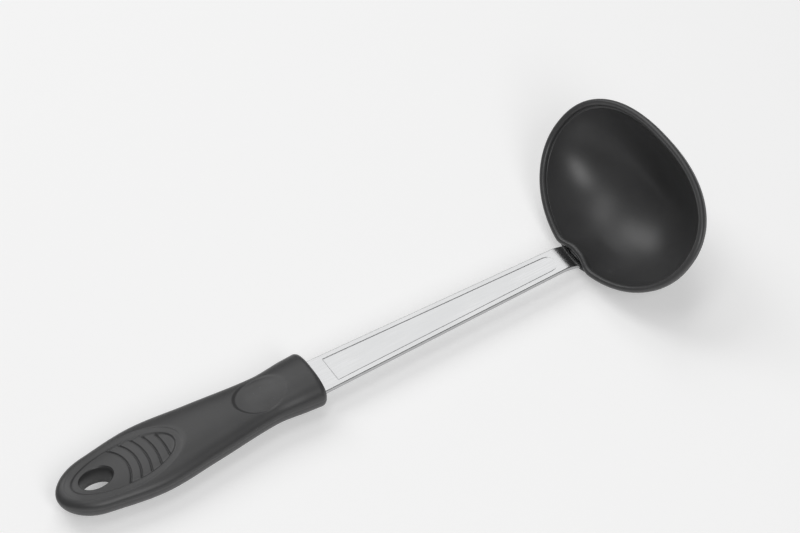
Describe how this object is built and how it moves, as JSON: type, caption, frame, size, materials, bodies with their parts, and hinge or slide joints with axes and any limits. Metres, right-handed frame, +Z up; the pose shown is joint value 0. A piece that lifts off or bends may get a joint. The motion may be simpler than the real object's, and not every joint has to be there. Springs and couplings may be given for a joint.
{
  "type": "soup ladle",
  "caption": "Soup ladle with an oval nylon bowl tilted up from a flat tapered steel shaft and a contoured moulded grip with an oval hanging hole.",
  "frame": {"origin": "on the table, under the middle of the ladle's length and width, with the ladle lying on the belly of its bowl and the underside of its grip", "axes": "+X from the tail of the grip to the bowl, +Y across, +Z up from the table"},
  "size_m": [0.2983, 0.097, 0.0577],
  "materials": {
    "bowl_nylon": "satin, with a fine moulded grain",
    "shaft_steel": "polished satin along the length",
    "grip_plastic": "soft satin moulded"
  },
  "bodies": {
    "root": {"bowl": "bowl_nylon", "shaft": "shaft_steel", "grip": "grip_plastic"}
  },
  "joints": []
}
